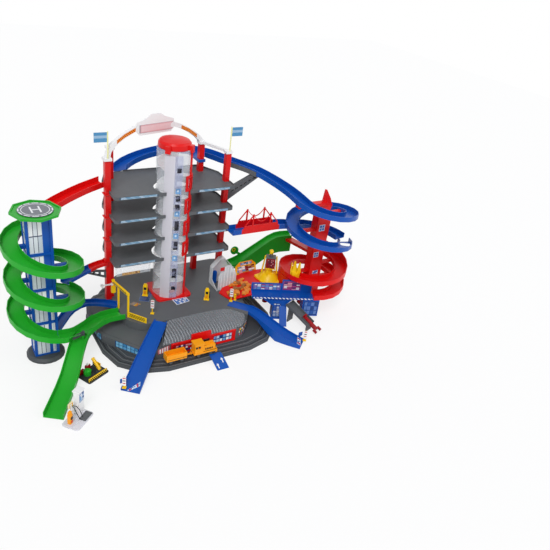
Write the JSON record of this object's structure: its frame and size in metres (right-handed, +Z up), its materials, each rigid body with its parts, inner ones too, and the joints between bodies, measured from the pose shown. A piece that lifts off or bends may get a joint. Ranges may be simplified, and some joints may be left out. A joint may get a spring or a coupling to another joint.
{
  "type": "toy parking garage with lift",
  "caption": "Toy parking garage: a screw lift in a clear tube, stacked parking decks, spiral car tracks on two towers, ramps, a tunnel, a car wash and a track with a train.",
  "frame": {"origin": "where the lift's axis meets the floor, in the flat pad under the lift", "axes": "+Z up along the lift, +X to the right along the fronts of the decks, +Y to the back"},
  "size_m": [1.2577, 0.7717, 0.7338],
  "materials": {
    "red": "gloss",
    "dark_red": "gloss",
    "blue": "gloss",
    "green": "gloss",
    "yellow": "gloss",
    "orange": "gloss",
    "white": "gloss",
    "grey": "satin",
    "dark_grey": "satin",
    "clear": "clear"
  },
  "bodies": {
    "garage": {"base_tray": "dark_grey", "road_block": "grey", "fascia_panel": "red", "tunnel_roof": "clear", "lift_gates": "red", "lift_tube": "clear", "lift_guide": "white", "lift_cap": "red", "post_front_left": "red", "post_front_right": "red", "post_back_left": "red", "post_back_right": "red", "deck_1": "grey", "deck_2": "grey", "deck_3": "grey", "deck_4": "grey", "deck_sign_board": "white", "arch": "white", "flag_left": "blue", "flag_right": "blue", "left_foot": "dark_grey", "left_column": "blue", "helipad": "green", "green_spiral": "green", "green_fork": "green", "red_track_upper": "red", "red_track_lower": "red", "left_truss": "grey", "blue_link": "blue", "blue_arch_track": "blue", "right_strut": "grey", "right_column": "red", "blue_spiral": "blue", "bridge_track": "blue", "red_spiral": "red", "red_square": "red", "yellow_tower": "yellow", "yellow_crown": "yellow", "blue_platform": "blue", "launch_chute": "grey", "wash_housing": "clear", "jump_ramp": "green", "front_ramp": "blue", "right_ramp": "blue", "small_ramp": "blue", "gantry": "yellow", "filling_station": "white", "building_site": "yellow"},
    "lift_screw": {"lift_screw": "white"},
    "diverter_flap": {"diverter_flap": "dark_grey"},
    "launcher": {"launcher": "dark_red"},
    "wash_brush": {"wash_brush": "blue"},
    "jump_lever": {"jump_lever": "green"},
    "gantry_boom": {"gantry_boom": "white"},
    "loco": {"loco": "orange"},
    "wagon": {"wagon": "orange"},
    "loco_wheels_front": {"loco_wheels_front": "dark_grey"},
    "loco_wheels_back": {"loco_wheels_back": "dark_grey"},
    "wagon_wheels_front": {"wagon_wheels_front": "dark_grey"},
    "wagon_wheels_back": {"wagon_wheels_back": "dark_grey"}
  },
  "joints": [
    {"name": "lift_spin", "type": "hinge", "parent": "garage", "child": "lift_screw", "pos_m": [0, 0, 0.08], "axis": [0, 0, 1], "continuous": true},
    {"name": "train_run", "type": "slide", "parent": "garage", "child": "loco", "axis": [1, 0, 0], "range_m": [-0.03, 0.1]},
    {"name": "wagon_run", "type": "slide", "parent": "garage", "child": "wagon", "axis": [1, 0, 0], "range_m": [-0.03, 0.1]},
    {"name": "loco_wheels_front_spin", "type": "hinge", "parent": "loco", "child": "loco_wheels_front", "pos_m": [0.01496, -0.336, 0.0223], "axis": [0, 1, 0], "range_deg": [-247, 820]},
    {"name": "loco_wheels_back_spin", "type": "hinge", "parent": "loco", "child": "loco_wheels_back", "pos_m": [-0.03096, -0.336, 0.0223], "axis": [0, 1, 0], "range_deg": [-247, 820]},
    {"name": "wagon_wheels_front_spin", "type": "hinge", "parent": "wagon", "child": "wagon_wheels_front", "pos_m": [-0.09184, -0.336, 0.0223], "axis": [0, 1, 0], "range_deg": [-247, 820]},
    {"name": "wagon_wheels_back_spin", "type": "hinge", "parent": "wagon", "child": "wagon_wheels_back", "pos_m": [-0.13216, -0.336, 0.0223], "axis": [0, 1, 0], "range_deg": [-247, 820]},
    {"name": "boom_swing", "type": "hinge", "parent": "garage", "child": "gantry_boom", "pos_m": [-0.22367, -0.0217, 0.1587], "axis": [0, 1, 0], "range_deg": [0, 80]},
    {"name": "diverter_turn", "type": "hinge", "parent": "garage", "child": "diverter_flap", "pos_m": [-0.37809, -0.20951, 0.1072], "axis": [0, 0, 1], "range_deg": [-12, 20]},
    {"name": "lever_swing", "type": "hinge", "parent": "garage", "child": "jump_lever", "pos_m": [0.376, 0.1195, 0.101], "axis": [0, 1, 0], "range_deg": [0, 70]},
    {"name": "launcher_slide", "type": "slide", "parent": "garage", "child": "launcher", "axis": [0.3415, -0.8592, -0.381], "range_m": [0, 0.024], "stiffness_N_per_m": 60},
    {"name": "brush_spin", "type": "hinge", "parent": "garage", "child": "wash_brush", "pos_m": [0.189, -0.0092, 0.1], "axis": [0, 0, 1], "continuous": true}
  ],
  "couplings": [
    {"joint": "wagon_run", "follows": "train_run", "ratio": 1},
    {"joint": "loco_wheels_front_spin", "follows": "train_run", "rad_per_m": 142.86},
    {"joint": "loco_wheels_back_spin", "follows": "train_run", "rad_per_m": 142.86},
    {"joint": "wagon_wheels_front_spin", "follows": "train_run", "rad_per_m": 142.86},
    {"joint": "wagon_wheels_back_spin", "follows": "train_run", "rad_per_m": 142.86}
  ]
}
